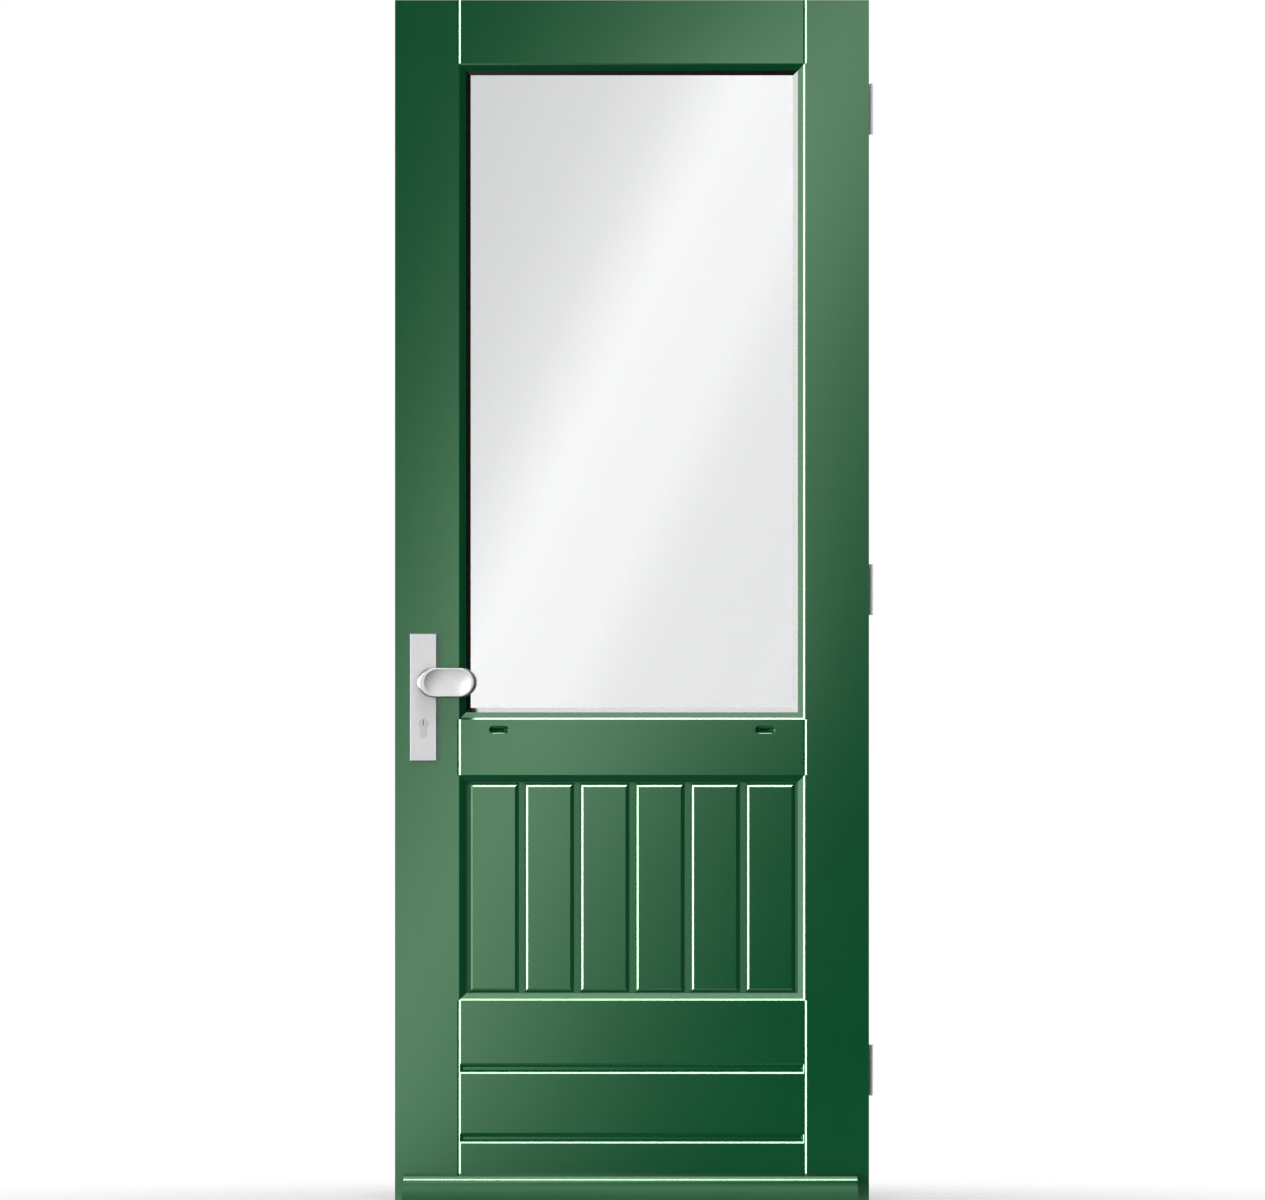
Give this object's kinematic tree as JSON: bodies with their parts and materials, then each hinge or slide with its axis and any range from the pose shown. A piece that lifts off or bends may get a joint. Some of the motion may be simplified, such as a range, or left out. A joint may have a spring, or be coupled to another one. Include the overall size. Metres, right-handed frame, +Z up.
{
  "type": "hardwood front door",
  "caption": "Painted hardwood front door leaf with a tall glass pane, a boarded lower panel, a weather bar, lift-off hinges and a mortise lock with a fixed knob outside and a lever inside.",
  "frame": {"origin": "under the middle of the leaf, at its lower edge and halfway through its thickness", "axes": "+X to the right seen from outside, +Y into the house, +Z up"},
  "size_m": [0.85, 0.176, 2.115],
  "materials": {
    "paint": "gloss paint on hardwood",
    "glass": "clear",
    "seal": "smooth",
    "spacer": "satin",
    "block": "matte",
    "hinge": "brushed",
    "furniture": "satin",
    "lock": "zinc plated",
    "cylinder": "nickel plated"
  },
  "bodies": {
    "frame_hinges": {"hinge_bottom_frame_leaf": "hinge", "hinge_middle_frame_leaf": "hinge", "hinge_top_frame_leaf": "hinge", "hinge_pins": "hinge"},
    "door_leaf": {"lock_stile": "paint", "hinge_stile": "paint", "top_rail": "paint", "lock_rail": "paint", "bottom_rail_lower": "paint", "bottom_rail_middle": "paint", "bottom_rail_upper": "paint", "weather_bar": "paint", "panel_board_1": "paint", "panel_board_2": "paint", "panel_board_3": "paint", "panel_board_4": "paint", "panel_board_5": "paint", "panel_board_6": "paint", "glazing_bead_bottom": "paint", "glazing_bead_right": "paint", "glazing_bead_top": "paint", "glazing_bead_left": "paint", "panel_bead_bottom": "paint", "panel_bead_right": "paint", "panel_bead_top": "paint", "panel_bead_left": "paint", "outer_pane": "glass", "inner_pane": "glass", "outer_seal": "seal", "inner_seal": "seal", "glass_spacer": "spacer", "setting_blocks": "block", "hinge_bottom_door_leaf": "hinge", "hinge_middle_door_leaf": "hinge", "hinge_top_door_leaf": "hinge", "outside_plate": "furniture", "outside_knob": "furniture", "inside_plate": "furniture", "lock_case": "lock", "lock_cover": "lock", "lock_forend": "lock", "cylinder_body": "cylinder"},
    "lever": {"inside_lever": "furniture", "spindle": "lock", "follower": "lock"},
    "latch": {"latch_bolt": "lock"},
    "cylinder_core": {"outside_plug": "cylinder", "inside_plug": "cylinder", "cylinder_cam": "cylinder"},
    "deadbolt": {"deadbolt": "lock"}
  },
  "joints": [
    {"name": "door_swing", "type": "hinge", "parent": "frame_hinges", "child": "door_leaf", "pos_m": [0.4165, 0.034, 1.0825], "axis": [0, 0, -1], "range_deg": [0, 110]},
    {"name": "lever_turn", "type": "hinge", "parent": "door_leaf", "child": "lever", "pos_m": [-0.365, 0, 0.92], "axis": [0, 1, 0], "range_deg": [0, 40], "stiffness_Nm_per_rad": 1.2, "springref_deg": -28.65},
    {"name": "latch_slide", "type": "slide", "parent": "door_leaf", "child": "latch", "axis": [1, 0, 0], "range_m": [0, 0.012]},
    {"name": "cylinder_turn", "type": "hinge", "parent": "door_leaf", "child": "cylinder_core", "pos_m": [-0.365, 0, 0.848], "axis": [0, -1, 0], "range_deg": [0, 360]},
    {"name": "deadbolt_slide", "type": "slide", "parent": "door_leaf", "child": "deadbolt", "axis": [-1, 0, 0], "range_m": [0, 0.02]}
  ],
  "couplings": [
    {"joint": "latch_slide", "follows": "lever_turn", "m_per_rad": 0.017189},
    {"joint": "cylinder_turn", "follows": "deadbolt_slide", "rad_per_m": 314.16}
  ]
}
